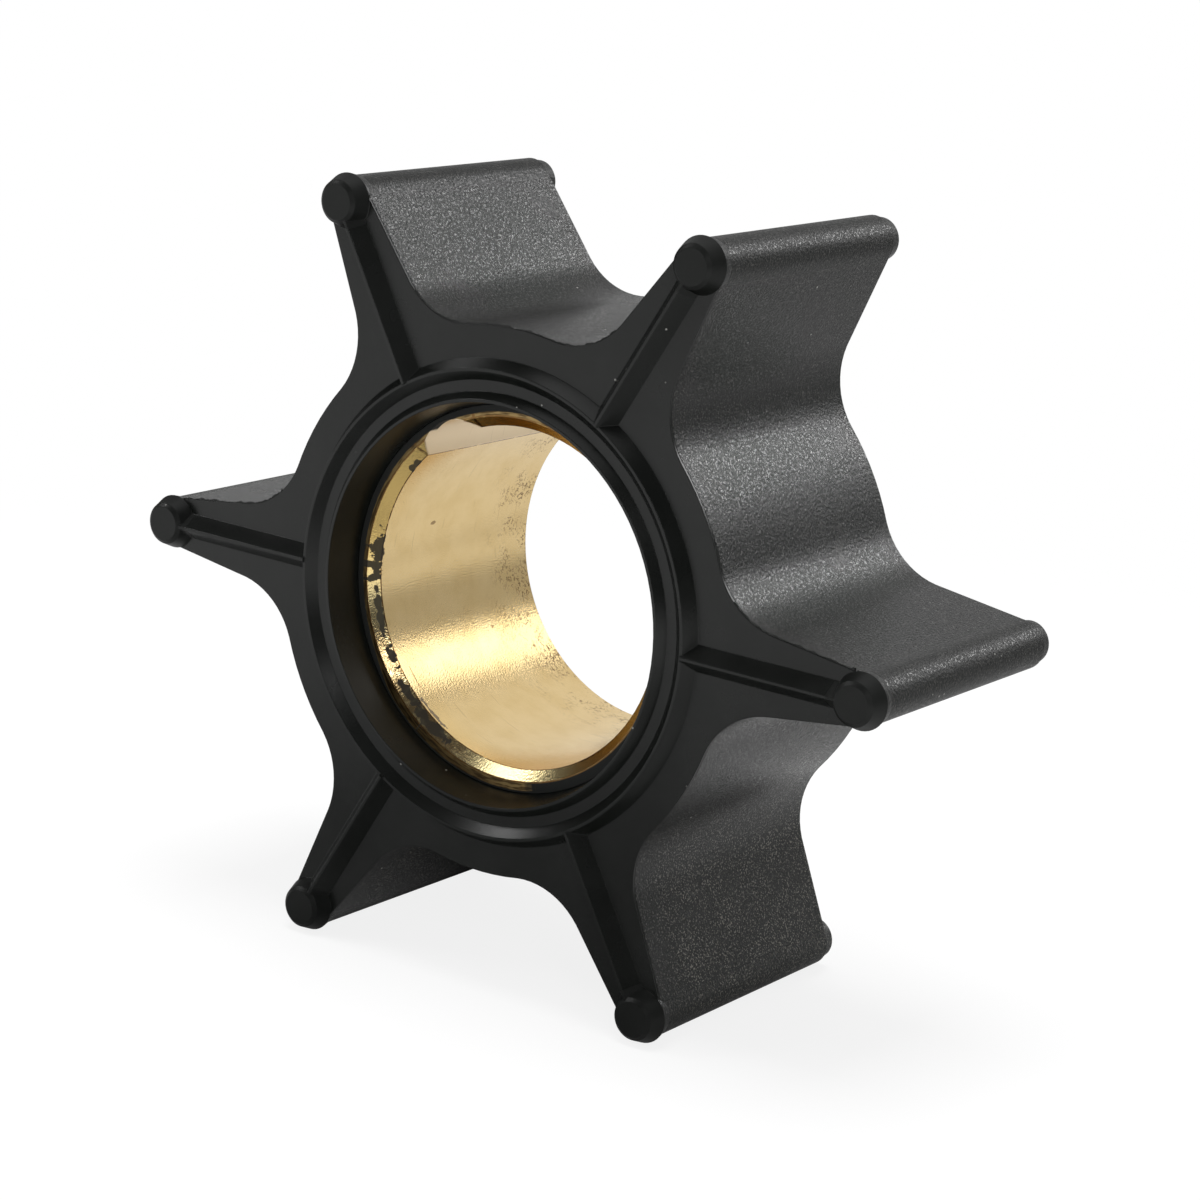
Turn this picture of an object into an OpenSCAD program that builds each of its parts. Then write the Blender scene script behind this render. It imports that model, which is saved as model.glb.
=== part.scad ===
/* [Impeller body] */
// diameter over the beads of two opposite vanes
body_d = 57.9; // [50:0.1:75]
// width of the moulding between its two flat end faces
body_w = 19.2; // [12:0.2:32]
// diameter of the hub barrel between the vanes
hub_d = 35.4; // [34:0.1:42]

/* [Vanes] */
// number of vanes round the hub
vane_n = 6; // [4:1:8]
// radius of the rounded bead along each vane tip
tip_r = 1.6; // [1.5:0.05:2.5]
// angle that each flank leans in from its root to its tip
flank_lean = 7.8; // [3:0.1:12]
// radius of the hollow fillet between a flank and the hub
root_r = 5.3; // [2:0.1:7]

/* [Tip bosses] */
// radius of the top of the round boss on each end of a vane tip
boss_r = 1.35; // [0.8:0.05:1.4]
// height of a boss above the end face
boss_h = 1.15; // [0.6:0.05:2]
// width of the softened edge round the top of a boss
boss_edge = 0.2; // [0.05:0.05:0.4]
// how far the foot of a front boss swells out past the bead
foot_swell = 0.2; // [0.05:0.05:0.4]
// depth over which that swelling runs out below the front face
swell_run = 0.8; // [0.3:0.1:2]

/* [Sealing ridges] */
// height of the ridge along the middle of each vane
rib_h = 1.05; // [0.5:0.05:1.1]
// width of that ridge at its foot
rib_w = 1.7; // [1:0.05:2.2]
// width of the narrow crest of every ridge
crest_w = 0.2; // [0.1:0.05:0.4]
// crest diameter of the ring ridge round the hub
ring_d = 30; // [29.5:0.1:31.5]
// height of the ring ridge above the end face
ring_h = 0.9; // [0.5:0.05:1.2]
// width of the outer slope of the ring ridge
ring_out_w = 0.55; // [0.3:0.05:0.8]
// width of the inner slope of the ring ridge
ring_in_w = 0.6; // [0.3:0.05:0.8]
// height of the raised land inside the ring ridge
land_h = 0.35; // [0.1:0.05:0.45]
// crest diameter of the lip round the mouth of the bore
lip_d = 26.1; // [26:0.1:27]
// height of that lip above the end face
lip_h = 0.9; // [0.5:0.05:1.2]
// width of the outer slope of the lip
lip_w = 0.45; // [0.2:0.05:0.6]

/* [Metal bush] */
// diameter of the bore that slides on the shaft
bore_d = 22.2; // [18:0.1:22.4]
// wall of the bush
bush_wall = 1.4; // [1.25:0.05:1.45]
// depth of the front end of the bush below the front face of the body
front_inset = 1.65; // [0.5:0.05:3]
// depth of the back end of the bush below the back face of the body
back_inset = 1; // [0.5:0.05:3]
// width of the chamfer at the front mouth of the bore
front_chamfer = 0.65; // [0.2:0.05:0.9]
// width of the chamfer at the back mouth of the bore
back_chamfer = 0.3; // [0.2:0.05:0.9]
// film of adhesive between the bush and the body
bond_gap = 0.03; // [0.01:0.01:0.1]

/* [Keyway] */
// depth of the round-bottomed keyway outside the bore
key_deep = 1.1; // [0.5:0.05:1.15]
// radius of the round bottom of the keyway
key_r = 2.8; // [1.5:0.05:4]
// angle of the keyway round the bore, counted from the right-hand vane
key_turn = 121.5; // [0:0.5:359]

/* [Hidden] */
$fn = 96;
rubber_colour = [0.13, 0.135, 0.13];
brass_colour = [0.79, 0.65, 0.38];
// how far a round surface laps over the one it runs into, so that the two cross
lap = 0.004;
// how far raised details reach down into the body below the end face
root_h = 0.5;
// how far a cutting shape runs on past the surface it cuts
over = 1;
// ledge between the foot of a back boss and the bead
back_ledge = 0.05;

// distance from the axis to the middle of a tip bead
tip_at = body_d / 2 - tip_r;
hub_r = hub_d / 2;
vane_step = 360 / vane_n;
face_at = body_w / 2;
ring_r = ring_d / 2;
lip_r = lip_d / 2;
back_foot_r = tip_r - back_ledge;
bore_r = bore_d / 2;
bush_r = bore_r + bush_wall;
socket_r = bush_r + bond_gap;
// where the two ends of the bush lie along the axis
front_end = face_at - front_inset;
back_end = back_inset - face_at;

// radius at the middle of a bead that both flanks are aimed at
flank_r = tip_r - lap;
// half width of a straight-sided vane where it would cross the axis
axis_half_w = (tip_at * sin(flank_lean) + flank_r) / cos(flank_lean);
// line on which the middle of a root fillet lies, parallel to the flank
fillet_off = tip_at * sin(flank_lean) + flank_r + root_r;
fillet_orbit = hub_r + root_r;
fillet_run = sqrt(fillet_orbit * fillet_orbit - fillet_off * fillet_off);
fillet_mid = [fillet_off * sin(flank_lean) + fillet_run * cos(flank_lean),
              fillet_off * cos(flank_lean) - fillet_run * sin(flank_lean)];
// point where that fillet meets the flank
flank_foot = fillet_mid - root_r * [sin(flank_lean), cos(flank_lean)];

// radius of the flared mouth in the rubber, where its cut has run on past the lip
function mouth_r(inset) =
    socket_r + (lip_r - crest_w / 2 - socket_r) * (inset + lip_h + over) / (inset + lip_h);

// one hollow fillet, from the hub to the upper flank of a vane
module root_fillet() {
    difference() {
        polygon([[0, 0], flank_foot, fillet_mid]);
        translate(fillet_mid) circle(r = root_r + lap);
    }
}

// outline of one vane, with its tip bead and both root fillets
module vane_outline() {
    polygon([[0, -axis_half_w],
             [tip_at + flank_r * sin(flank_lean), -flank_r * cos(flank_lean)],
             [tip_at + flank_r * sin(flank_lean), flank_r * cos(flank_lean)],
             [0, axis_half_w]]);
    translate([tip_at, 0]) circle(r = tip_r);
    root_fillet();
    mirror([0, 1]) root_fillet();
}

// hub and vanes in one prism, between the two end faces
module vane_star() {
    linear_extrude(height = body_w, center = true) {
        circle(r = hub_r);
        for (i = [0 : vane_n - 1]) rotate(i * vane_step) vane_outline();
    }
}

// land with its ring ridge and lip, raised round the mouth of the bore
module hub_land() {
    rotate_extrude()
        polygon([[bush_r, -root_h],
                 [bush_r, lip_h],
                 [lip_r + crest_w / 2, lip_h],
                 [lip_r + crest_w / 2 + lip_w, land_h],
                 [ring_r - crest_w / 2 - ring_in_w, land_h],
                 [ring_r - crest_w / 2, ring_h],
                 [ring_r + crest_w / 2, ring_h],
                 [ring_r + crest_w / 2 + ring_out_w, 0],
                 [ring_r + crest_w / 2 + ring_out_w, -root_h]]);
}

// ridge of triangular section, from the ring ridge out to the tip boss
module vane_rib() {
    translate([ring_r, 0, 0])
        rotate([90, 0, 90])
            linear_extrude(height = tip_at - ring_r)
                polygon([[-rib_w / 2, -root_h],
                         [-rib_w / 2, 0],
                         [-crest_w / 2, rib_h],
                         [crest_w / 2, rib_h],
                         [rib_w / 2, 0],
                         [rib_w / 2, -root_h]]);
}

// round boss on the end of a vane tip, drafted from its foot to a softened top edge;
// below the foot it goes on down into the bead as a cone
module tip_boss(foot_r, cone_r, cone_h) {
    translate([tip_at, 0, 0])
        rotate_extrude()
            polygon([[0, -cone_h],
                     [cone_r, -cone_h],
                     [foot_r, 0],
                     [boss_r + boss_edge / 4, boss_h - boss_edge],
                     [boss_r - boss_edge, boss_h],
                     [0, boss_h]]);
}

// what both end faces have: land, ring ridge, lip and the ridges on the vanes
module end_details() {
    translate([0, 0, face_at]) {
        hub_land();
        for (i = [0 : vane_n - 1]) rotate(i * vane_step) vane_rib();
    }
}

// six bosses on one end face
module boss_ring(foot_r, cone_r, cone_h) {
    translate([0, 0, face_at])
        for (i = [0 : vane_n - 1]) rotate(i * vane_step)
            tip_boss(foot_r, cone_r, cone_h);
}

// socket for the bush and the flared mouths in front of and behind it
module bore_cut() {
    rotate_extrude()
        polygon([[0, -(face_at + lip_h + over)],
                 [mouth_r(back_inset), -(face_at + lip_h + over)],
                 [socket_r, back_end],
                 [socket_r, front_end],
                 [mouth_r(front_inset), face_at + lip_h + over],
                 [0, face_at + lip_h + over]]);
}

// rubber moulding, its axis along Y and its front face towards -Y
module impeller_body() {
    color(rubber_colour)
        rotate([90, 0, 0])
            difference() {
                union() {
                    vane_star();
                    end_details();
                    mirror([0, 0, 1]) end_details();
                    boss_ring(tip_r + foot_swell, tip_r - foot_swell, 2 * swell_run);
                    mirror([0, 0, 1]) boss_ring(back_foot_r, back_foot_r, root_h);
                }
                bore_cut();
            }
}

// bored and chamfered bush with a keyway along its whole length
module bush() {
    color(brass_colour)
        rotate([90, 0, 0])
            difference() {
                rotate_extrude()
                    polygon([[bore_r + back_chamfer, back_end],
                             [bush_r, back_end],
                             [bush_r, front_end],
                             [bore_r + front_chamfer, front_end],
                             [bore_r, front_end - front_chamfer],
                             [bore_r, back_end + back_chamfer]]);
                rotate(key_turn)
                    translate([bore_r + key_deep - key_r, 0, 0])
                        cylinder(r = key_r, h = body_w + 2 * over, center = true);
            }
}

impeller_body();
bush();
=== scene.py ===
from math import pi, radians

import bmesh
import bpy
from mathutils import Matrix, Vector, noise


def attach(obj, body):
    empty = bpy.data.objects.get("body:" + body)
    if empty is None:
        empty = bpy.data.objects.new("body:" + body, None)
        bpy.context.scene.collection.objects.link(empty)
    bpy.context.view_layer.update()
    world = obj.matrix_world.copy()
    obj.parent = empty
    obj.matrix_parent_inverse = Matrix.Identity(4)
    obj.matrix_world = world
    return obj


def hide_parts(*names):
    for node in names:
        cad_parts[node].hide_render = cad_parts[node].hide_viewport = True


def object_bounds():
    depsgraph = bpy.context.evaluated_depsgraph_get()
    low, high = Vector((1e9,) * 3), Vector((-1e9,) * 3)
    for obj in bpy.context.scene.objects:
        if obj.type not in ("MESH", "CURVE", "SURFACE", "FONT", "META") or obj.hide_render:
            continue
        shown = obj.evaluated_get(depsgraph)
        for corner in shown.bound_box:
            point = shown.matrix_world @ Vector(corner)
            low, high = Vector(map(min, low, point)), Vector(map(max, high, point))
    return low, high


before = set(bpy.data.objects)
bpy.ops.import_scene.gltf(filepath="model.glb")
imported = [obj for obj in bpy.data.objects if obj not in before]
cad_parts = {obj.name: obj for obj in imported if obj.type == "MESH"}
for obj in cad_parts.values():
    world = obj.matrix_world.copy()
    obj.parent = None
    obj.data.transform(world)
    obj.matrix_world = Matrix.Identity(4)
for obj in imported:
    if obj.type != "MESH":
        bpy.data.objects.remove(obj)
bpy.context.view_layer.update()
mm = 0.001


# Impeller body: one rubber moulding, hub and six vanes, with bosses, ridges, ring and lip on both
# faces. It came out of a two-part mould, so its edges are a little soft. Its side walls carry the
# fine grain of the mould, and low on the vanes the flecks of that grain are painted lighter, as
# painted glints.

def merged_copy(node, name):
    """A copy of a CAD node as one closed mesh, with its flat faces whole again."""
    bm = bmesh.new()
    bm.from_mesh(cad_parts[node].data)
    bmesh.ops.remove_doubles(bm, verts=bm.verts, dist=0.001 * mm)
    bmesh.ops.dissolve_limit(bm, angle_limit=radians(0.5), verts=bm.verts, edges=bm.edges,
                             use_dissolve_boundaries=False, delimit=set())
    mesh = bpy.data.meshes.new(name)
    bm.to_mesh(mesh)
    bm.free()
    mesh.attributes.remove(mesh.attributes["custom_normal"])
    mesh.shade_smooth()
    mesh.set_sharp_from_angle(angle=radians(9))
    piece = bpy.data.objects.new(name, mesh)
    bpy.context.scene.collection.objects.link(piece)
    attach(piece, "root")
    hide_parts(node)
    return piece


class Wire:
    """An output socket of a material. Sums on it add Math nodes."""

    def __init__(self, tree, socket):
        self.tree, self.socket = tree, socket

    def node(self, kind, settings={}, sockets={}, output=0):
        """Adds a node: its settings first, then the values or links of its sockets."""
        made = self.tree.nodes.new(kind)
        for key, value in settings.items():
            setattr(made, key, value)
        for key, value in sockets.items():
            if isinstance(value, Wire):
                self.tree.links.new(value.socket, made.inputs[key])
            else:
                made.inputs[key].default_value = value
        return Wire(self.tree, made.outputs[output])

    def math(self, operation, *values):
        return self.node("ShaderNodeMath", {"operation": operation}, dict(enumerate(values)))

    def __add__(self, other): return self.math("ADD", self, other)
    def __radd__(self, other): return self.math("ADD", other, self)
    def __sub__(self, other): return self.math("SUBTRACT", self, other)
    def __rsub__(self, other): return self.math("SUBTRACT", other, self)
    def __mul__(self, other): return self.math("MULTIPLY", self, other)
    def __rmul__(self, other): return self.math("MULTIPLY", other, self)
    def __or__(self, other): return self.math("MAXIMUM", self, other)

    def step(self, low, high):
        """0 below low, 1 above high and smooth between, or the other way round."""
        return self.node("ShaderNodeMapRange", {"interpolation_type": "SMOOTHSTEP"},
                         {"Value": self, "From Min": low, "From Max": high})

    def band(self, middle, half):
        """1 near one value, 0 farther from it than half."""
        away = self - middle
        return away.math("ABSOLUTE", away).step(half, 0.6 * half)

    def blend(self, dark, light):
        """A colour between two others."""
        return self.node("ShaderNodeMix", {"data_type": "RGBA"}, {0: self, 6: dark, 7: light}, 2)

    def length(self):
        return self.node("ShaderNodeVectorMath", {"operation": "LENGTH"}, {0: self}, 1)

    def axes(self):
        """The three numbers of a vector."""
        parts = self.node("ShaderNodeSeparateXYZ", {}, {0: self}).socket.node.outputs
        return [Wire(self.tree, part) for part in parts]

    def around_y(self):
        """The three numbers of a point, and how far it lies from the Y axis, round which all turns."""
        x, y, z = self.axes()
        return x, y, z, self.node("ShaderNodeCombineXYZ", {}, {0: x, 2: z}).length()

    def noise(self, size, detail=2.0, rough=0.5, stretch=(1, 1, 1)):
        """Cloudy noise with features of about that size."""
        place = self.node("ShaderNodeMapping", {}, {"Vector": self, "Scale": stretch})
        return self.node("ShaderNodeTexNoise", {},
                         {"Vector": place, "Scale": 1 / size, "Detail": detail, "Roughness": rough})

    def dots(self, apart, radius, share):
        """Small round dots: how far apart, how large, and the share of places that have one."""
        cells = self.node("ShaderNodeTexVoronoi", {}, {"Vector": self, "Scale": 1 / apart})
        red = Wire(self.tree, cells.socket.node.outputs["Color"]).axes()[0]
        return cells.step(radius / apart, 0.5 * radius / apart) * red.step(share + 0.01, share)


def finish(name):
    """A new material: the material, its shader, and the object coordinates as a wire."""
    material = bpy.data.materials.new(name)
    material.use_nodes = True
    tree = material.node_tree
    shader = tree.nodes["Principled BSDF"]
    point = Wire(tree, tree.nodes.new("ShaderNodeTexCoord").outputs["Object"])
    return material, shader, point


def feed(shader, socket, wire):
    wire.tree.links.new(wire.socket, shader.inputs[socket])


body = merged_copy("impeller_body", "rubber_impeller_body")

rubber, shader, point = finish("black_rubber")
shader.inputs["IOR"].default_value = 1.5
shader.inputs["Specular IOR Level"].default_value = 0.25
x, y, z, from_axis = point.around_y()
front_face = -9.6 * mm
# all that lies behind the front edge, so the outer part of the back face has the grain as well
side_wall = (y.step(front_face + 0.1 * mm, front_face + 0.3 * mm)
             * from_axis.step(16.6 * mm, 17.2 * mm))
grain = point.noise(0.19 * mm, 3, 0.65)
flecks = point.noise(0.12 * mm, 1).step(0.56, 0.68) * side_wall
cloud = point.noise(5 * mm, 4, 0.6)
bare_rubber = cloud.step(0.35, 0.65).blend((0.0050, 0.0060, 0.0050, 1),
                                           (0.0080, 0.0090, 0.0080, 1))
uneven = 0.5 + 0.5 * point.noise(2.5 * mm, 2).step(0.35, 0.65)
# Low on the vanes the flecks are painted lighter: painted glints.
low_down = z.step(-8 * mm, -20 * mm) * y.step(-9 * mm, -5 * mm)
fleck_colour_with_painted_glints = (low_down * uneven).blend((0.034, 0.032, 0.027, 1), (0.15, 0.142, 0.12, 1))
dust = point.dots(1.3 * mm, 0.09 * mm, 0.28)
feed(shader, "Base Color", dust.blend(flecks.blend(bare_rubber, fleck_colour_with_painted_glints), (0.30, 0.30, 0.28, 1)))
front_boss = (y.step(front_face - 0.02 * mm, front_face - 0.10 * mm)
              * from_axis.step(25.4 * mm, 25.6 * mm))
tip = from_axis.step(26.9 * mm, 28.2 * mm) | front_boss
feed(shader, "Roughness", 0.24 + 0.05 * cloud + 0.2 * tip)
feed(shader, "Coat Weight", 0.45 * flecks)
shader.inputs["Coat Roughness"].default_value = 0.2
relief = grain * (0.06 + 0.94 * side_wall) + 0.1 * point.noise(1.1 * mm, 2)
feed(shader, "Normal", point.node("ShaderNodeBump", {}, {
    "Strength": 1.0, "Distance": 0.06 * mm, "Height": relief,
    "Normal": point.node("ShaderNodeBevel", {"samples": 6}, {"Radius": 0.08 * mm})}))
body.data.materials.clear()
body.data.materials.append(rubber)


# Flash: a thin fin of rubber along the parting line of the mould, where the front face meets the
# walls that face up. It was torn off by hand, so its edge is ragged.

def is_parting(edge):
    """True for an edge between the flat front face and a side wall."""
    steep = sorted(abs(face.normal.y) for face in edge.link_faces)
    in_front = all(abs(vert.co.y - front_face) < 0.01 * mm for vert in edge.verts)
    return in_front and len(steep) == 2 and steep[0] < 0.05 and steep[1] > 0.98


def wall_normal(edge):
    return min((face.normal.copy() for face in edge.link_faces), key=lambda normal: abs(normal.y))


fin_width, fin_thick, fin_step = 0.2 * mm, 0.04 * mm, 0.1 * mm
flash = bpy.data.objects.new("rubber_flash", bpy.data.meshes.new("rubber_flash"))
bpy.context.scene.collection.objects.link(flash)
bm = bmesh.new()
bm.from_mesh(body.data)
for edge in [edge for edge in bm.edges if is_parting(edge) and wall_normal(edge).z > 0.7]:
    bmesh.ops.subdivide_edges(bm, edges=[edge], cuts=int(edge.calc_length() / fin_step))
parting = [edge for edge in bm.edges if is_parting(edge) and wall_normal(edge).z > 0.7]
outward = {}
for edge in parting:
    for vert in edge.verts:
        outward[vert] = outward.get(vert, Vector()) + wall_normal(edge)
solid = list(bm.faces)
fin = bmesh.ops.extrude_edge_only(bm, edges=parting)["geom"]
for vert in [part for part in fin if isinstance(part, bmesh.types.BMVert)]:
    root = next(edge.other_vert(vert) for edge in vert.link_edges
                if edge.other_vert(vert) in outward)
    torn = (0.4 + 0.7 * noise.noise(vert.co / (0.45 * mm))
            + 0.4 * noise.noise(vert.co / (0.15 * mm)))
    vert.co += outward[root].normalized() * fin_width * max(0.1, torn)
bmesh.ops.delete(bm, geom=solid, context="FACES")
back = bmesh.ops.extrude_face_region(bm, geom=list(bm.faces))["geom"]
bmesh.ops.translate(bm, verts=[part for part in back if isinstance(part, bmesh.types.BMVert)],
                    vec=(0, fin_thick, 0))
bmesh.ops.recalc_face_normals(bm, faces=bm.faces)
bm.to_mesh(flash.data)
bm.free()
flash.data.materials.append(rubber)
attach(flash, "root")


# Bush: a turned brass sleeve, bonded into the rubber, chamfered at both mouths, with one
# round-bottomed keyway. Its bore is tarnished, and pitted towards the far end. A film of rubber
# covers part of the front rim, which is stained brown, and smears of it lie on the chamfer.

bush = merged_copy("bush", "brass_bush")

brass, shader, point = finish("tarnished_brass")
shader.inputs["Specular IOR Level"].default_value = 0.15
x, y, z, from_axis = point.around_y()
bore_r, chamfer_at = 11.1 * mm, -7.30 * mm
turn = z.math("ARCTAN2", z, -1 * x)
flat = turn.node("ShaderNodeCombineXYZ", {}, {0: bore_r * turn, 1: y})
ragged = 3.4 * flat.noise(0.55 * mm, 3, 0.6) - 1.7


def blot(round_mm, along_mm, half_round, half_along):
    """1 inside an ellipse with ragged edges on the surface of the bore, unrolled from its left."""
    place = flat.node("ShaderNodeMapping", {}, {
        "Vector": flat, "Scale": (1 / (half_round * mm), 1 / (half_along * mm), 1),
        "Location": (-round_mm / half_round, -along_mm / half_along, 0)})
    return (place.length() + ragged).step(1.06, 0.94)


chamfer = y.step(chamfer_at + 0.04 * mm, chamfer_at - 0.04 * mm)
rim = chamfer * from_axis.step(11.74 * mm, 11.80 * mm)
bare = 0.3 * mm * turn.band(-1.25, 0.8)
film = chamfer * (from_axis - bare + 0.03 * mm * ragged).step(12.02 * mm, 12.10 * mm)
low_film = (chamfer * from_axis.step(11.80 * mm, 11.88 * mm)
            * (turn + 0.06 * ragged).step(-1.72, -1.82))
key_r, key_x, key_z = 2.8 * mm, -4.911 * mm, 8.015 * mm
from_key = point.node("ShaderNodeCombineXYZ", {}, {0: x - key_x, 1: z - key_z}).length()
key = from_key.band(key_r, 0.06 * mm) * turn.band(1.021, 0.5)
key_line = turn.band(0.797, 0.012) | turn.band(1.245, 0.012)

tarnish = flat.noise(2.5 * mm, 4, 0.6)
colour = tarnish.step(0.35, 0.7).blend((0.78, 0.585, 0.295, 1), (0.73, 0.535, 0.25, 1))
chamfer_brass = turn.step(-0.3, 0.2).blend((0.68, 0.565, 0.30, 1), (0.70, 0.50, 0.18, 1))
colour = chamfer.blend(colour, chamfer_brass)
# The chamfer is coloured darker brown towards its lower left.
darker_lower_chamfer = chamfer * turn.band(-0.85, 0.6) * flat.noise(0.7 * mm, 3).step(0.3, 0.5)
colour = (0.8 * darker_lower_chamfer).blend(colour, (0.26, 0.17, 0.08, 1))
turned = from_axis.node("ShaderNodeCombineXYZ", {}, {0: from_axis, 1: 1.5 * mm * turn})
rim_stain = turned.noise(0.16 * mm, 2).step(0.42, 0.6)
colour = rim.blend(colour, rim_stain.blend((0.30, 0.21, 0.09, 1), (0.10, 0.065, 0.03, 1)))
# Near the front mouth the bore is coloured more orange towards its bottom and its upper left.
warm = (y.step(-4.6 * mm, -7.0 * mm) * (1 - chamfer)
        * (turn.band(-1.45, 0.6) | 0.8 * turn.band(0.62, 0.4)))
colour = (0.4 * warm).blend(colour, (0.80, 0.55, 0.20, 1))
colour = key.blend(colour, (0.82, 0.67, 0.46, 1))
lines = (from_axis.band(11.79 * mm, 0.07 * mm) * chamfer | y.band(chamfer_at, 0.05 * mm)
         | key_line * (1 - key))
broken = lines * (1 - key) * flat.noise(0.5 * mm, 2).step(0.3, 0.5)
colour = broken.blend(colour, (0.20, 0.11, 0.04, 1))
worn = y.step(2.5 * mm, 7.5 * mm) * flat.noise(2.2 * mm, 2).step(0.42, 0.6)
pits = (flat.noise(0.4 * mm, 3, 0.6).band(0.5, 0.035)
        * flat.noise(0.3 * mm, 1).step(0.45, 0.5) * worn)
scratch = flat.noise(0.5 * mm, 2, 0.5, (0.12, 1.6, 1)).step(0.66, 0.70)
spots = blot(2.1, -2.2, 0.12, 0.28) | blot(-6.0, 3.1, 0.12, 0.12) | blot(-8.1, 6.3, 0.12, 0.16)
spots = spots | flat.dots(1.6 * mm, 0.07 * mm, 0.2) | blot(-7.8, -6.5, 1.0, 0.05)
in_bore = y.step(8.35 * mm, 8.25 * mm)
marks = in_bore * (pits | 0.8 * spots | 0.15 * scratch)
colour = marks.blend(colour, (0.24, 0.15, 0.065, 1))
streaks = blot(-10.9, -7.02, 1.6, 0.14) | blot(-24.4, -7.2, 1.1, 0.15)
colour = (0.8 * streaks).blend(colour, (0.13, 0.105, 0.085, 1))
smears = blot(0.6, -7.44, 1.7, 0.27)
for place in ((-3.0, -7.52, 1.7, 0.15), (-5.9, -7.47, 1.0, 0.2),
              (1.0, -7.68, 0.25, 0.3), (0.0, -7.68, 0.25, 0.3), (-0.9, -7.68, 0.25, 0.3),
              (7.6, -7.42, 0.8, 0.17), (-11.3, -7.62, 1.7, 0.24), (-8.6, -7.6, 1.2, 0.18)):
    smears = smears | blot(*place)
soiled = film | low_film | 0.92 * smears
black_film = (0.018, 0.019, 0.018, 1)
feed(shader, "Base Color", soiled.blend(colour, black_film))
feed(shader, "Metallic", 1 - soiled)
feed(shader, "Roughness", 0.18 + 0.05 * tarnish + 0.2 * (key | rim) + 0.25 * soiled)
relief = flat.noise(0.13 * mm, 1) + 0.12 * flat.noise(0.6 * mm, 2) - 0.8 * pits
feed(shader, "Normal", point.node("ShaderNodeBump", {}, {
    "Strength": 1.0, "Distance": 0.012 * mm, "Height": relief,
    "Normal": point.node("ShaderNodeBevel", {"samples": 6}, {"Radius": 0.06 * mm})}))
bush.data.materials.clear()
bush.data.materials.append(brass)


# Table: a wide pale floor under the two vane tips that the part stands on. It shows as white paper
# and keeps the part's soft shadow. For glossy surfaces it glows instead. A painted shadow makes it
# darker close to the part, and painted light makes it brighter farther out in front.

def card(name, centre, across, up, width, height, shade):
    """A flat rectangle of paper beside or under the part."""
    bm = bmesh.new()
    bmesh.ops.create_grid(bm, x_segments=1, y_segments=1, size=0.5)
    turn = Matrix((Vector(across), Vector(up), Vector(across).cross(Vector(up)))).transposed()
    bmesh.ops.scale(bm, verts=bm.verts, vec=(width, height, 1))
    bmesh.ops.transform(bm, verts=bm.verts, matrix=Matrix.Translation(centre) @ turn.to_4x4())
    mesh = bpy.data.meshes.new(name)
    bm.to_mesh(mesh)
    bm.free()
    made = bpy.data.objects.new(name, mesh)
    bpy.context.scene.collection.objects.link(made)
    paper, shader, point = finish(name)
    shader.inputs["Base Color"].default_value = (shade, shade, shade, 1)
    shader.inputs["Roughness"].default_value = 0.9
    shader.inputs["Specular IOR Level"].default_value = 0.1
    mesh.materials.append(paper)
    return made, shader, point


def background_rays(tree):
    """The rays that show the background: those to the camera, and those in metal, gloss or glass."""
    path = tree.nodes.new("ShaderNodeLightPath").outputs
    camera, glossy, through = (Wire(tree, path["Is %s Ray" % kind])
                               for kind in ("Camera", "Glossy", "Transmission"))
    return camera, glossy | through


table_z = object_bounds()[0].z
floor, shader, point = card("table_top", (0, 0, table_z), (1, 0, 0), (0, 1, 0), 6, 6, 0.85)
away = point.length()
behind = point.axes()[1].step(-0.05, 0.02)
to_camera, mirrored = background_rays(point.tree)
from_foot = point.node("ShaderNodeVectorMath", {"operation": "SUBTRACT"},
                       {0: point, 1: (-0.012, 0.010, table_z)}).length()
# What glossy surfaces see of the table: near fades its glow out close to the part, a painted shadow,
# and glow rises above white in front of the part, painted light, and stays below white behind it.
near = (behind * away.step(0.024, 0.040) * from_foot.step(0, 0.016)
        + (1 - behind) * away.step(0.02, 0.11))
glow = (1.45 - behind * (0.6 + 0.2 * away.step(0.070, 0.088))) * near
white = point.node("ShaderNodeEmission", {}, {"Color": (1, 1, 1, 1),
                                              "Strength": 1 + mirrored * (glow - 1)})
lit = Wire(point.tree, shader.outputs[0])
share = to_camera * (0.85 + 0.15 * away.step(0.05, 0.14)) + mirrored
mixed = point.node("ShaderNodeMixShader", {}, {0: share, 1: lit, 2: white})
output = point.tree.nodes["Material Output"]
point.tree.links.new(mixed.socket, output.inputs["Surface"])


# Lights: soft lamps overhead and on the back wall, a window behind to the right, and two lamps that
# draw the edges of the front, in a pale room with two cards. The window shines on the rubber alone,
# the lamps named in_brass on the bush alone, and the one named over_table on the table alone.

def lamp(name, turn, rise, far, width, height, bright, shines_on=None):
    """A soft rectangle that faces the part: degrees round it and up, distance, size and radiance."""
    data = bpy.data.lights.new(name, "AREA")
    data.shape = "RECTANGLE"
    data.size, data.size_y, data.energy = width, height, bright * pi * width * height
    made = bpy.data.objects.new(name, data)
    aim = (Matrix.Rotation(radians(-turn), 3, "Z") @ Matrix.Rotation(radians(rise), 3, "X")
           @ Vector((0, 1, 0)))
    made.location = far * aim
    made.rotation_euler = (-aim).to_track_quat("-Z", "Y").to_euler()
    made.visible_camera = False
    made.light_linking.receiver_collection = shines_on
    bpy.context.scene.collection.objects.link(made)


def receivers(name, pieces):
    """A collection of the only pieces that a lamp shines on."""
    made = bpy.data.collections.new(name)
    for piece in pieces:
        made.objects.link(piece)
    return made


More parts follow.
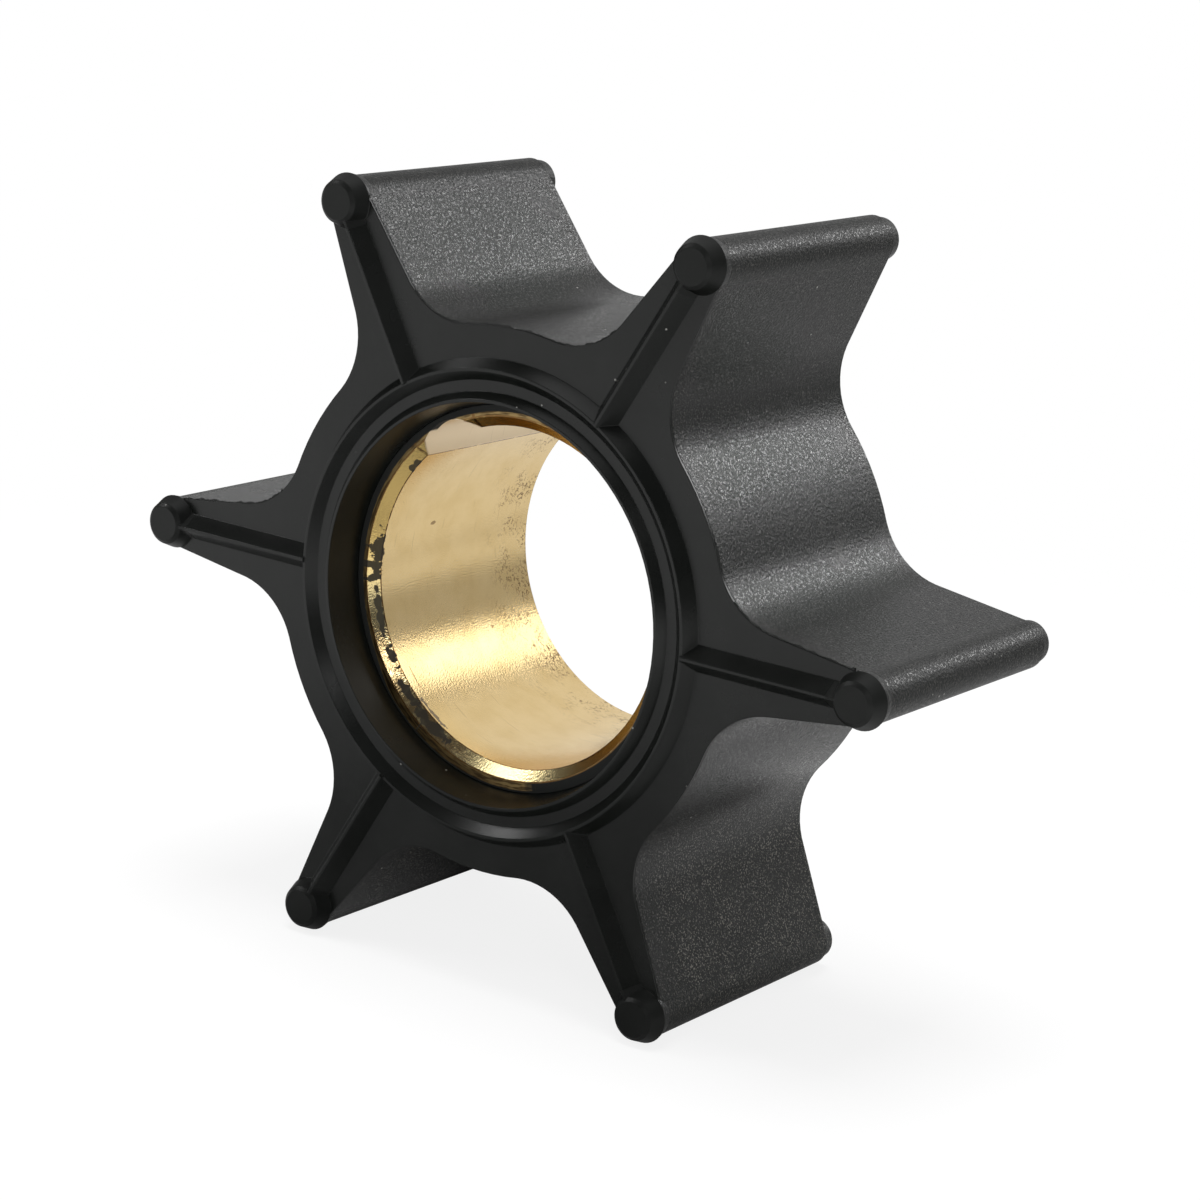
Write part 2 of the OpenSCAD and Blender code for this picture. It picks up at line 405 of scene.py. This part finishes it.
on_rubber = receivers("on_rubber", [body, flash])
on_brass = receivers("on_brass", [bush])
lamp("overhead", 0, 90, 0.60, 0.50, 0.50, 1.3)
lamp("over_table", 0, 90, 0.64, 0.30, 0.30, 13, receivers("on_table", [floor]))
lamp("window", 25.5, 30, 0.60, 0.28, 0.19, 9.7, on_rubber)
lamp("window_in_brass", 25.5, 28.4, 0.60, 0.28, 0.165, 2.6, on_brass)
lamp("table_in_brass", 34, -9.9, 0.095, 0.060, 0.0165, 0.2, on_brass)
lamp("foot_in_brass", 171.5, -49.3, 0.029, 0.030, 0.016, 0.25, on_brass)
lamp("back_wall", -24, 32, 0.80, 0.90, 0.80, 0.57)
lamp("wall_in_brass", -24, 32, 0.84, 0.90, 0.80, 0.22, on_brass)
lamp("edge_left", -120, 35, 0.50, 0.17, 0.12, 8)
lamp("glint_in_brass", -118, 50, 0.50, 0.12, 0.12, 3.5, on_brass)
lamp("edge_right", 138, 30, 0.50, 0.06, 0.12, 12)

cards = (
    card("band_card", (0.321, 0.383, 0.07), (0.766, -0.643, 0), (0, 0, 1), 0.25, 0.2, 0.75),
    card("front_card", (0, -0.60, 0.20), (1, 0, 0), (0, 0, 1), 1.4, 0.5, 0.02),
)
for paper, _, _ in cards:
    paper.visible_camera = paper.visible_diffuse = paper.visible_shadow = False

room = bpy.data.worlds.new("pale_room")
bpy.context.scene.world = room
room.use_nodes = True
room.node_tree.nodes["Background"].inputs["Color"].default_value = (1, 1, 1, 1)
to_camera, mirrored = background_rays(room.node_tree)
feed(room.node_tree.nodes["Background"], "Strength", 0.2 + 0.8 * to_camera - 0.08 * mirrored)


# Camera: where the photograph was taken from, in front of the part, to its right and a little above
# it, through a long lens.

eye = bpy.data.objects.new("camera", bpy.data.cameras.new("camera"))
eye.data.lens = 100.33
eye.location = (0.12262, -0.17254, 0.05397)
eye.rotation_euler = (radians(75.347), radians(-4.136), radians(36.167))
eye.data.clip_start, eye.data.clip_end = 0.01, 20
bpy.context.scene.collection.objects.link(eye)
bpy.context.scene.camera = eye
bpy.context.scene.view_settings.view_transform = "Standard"
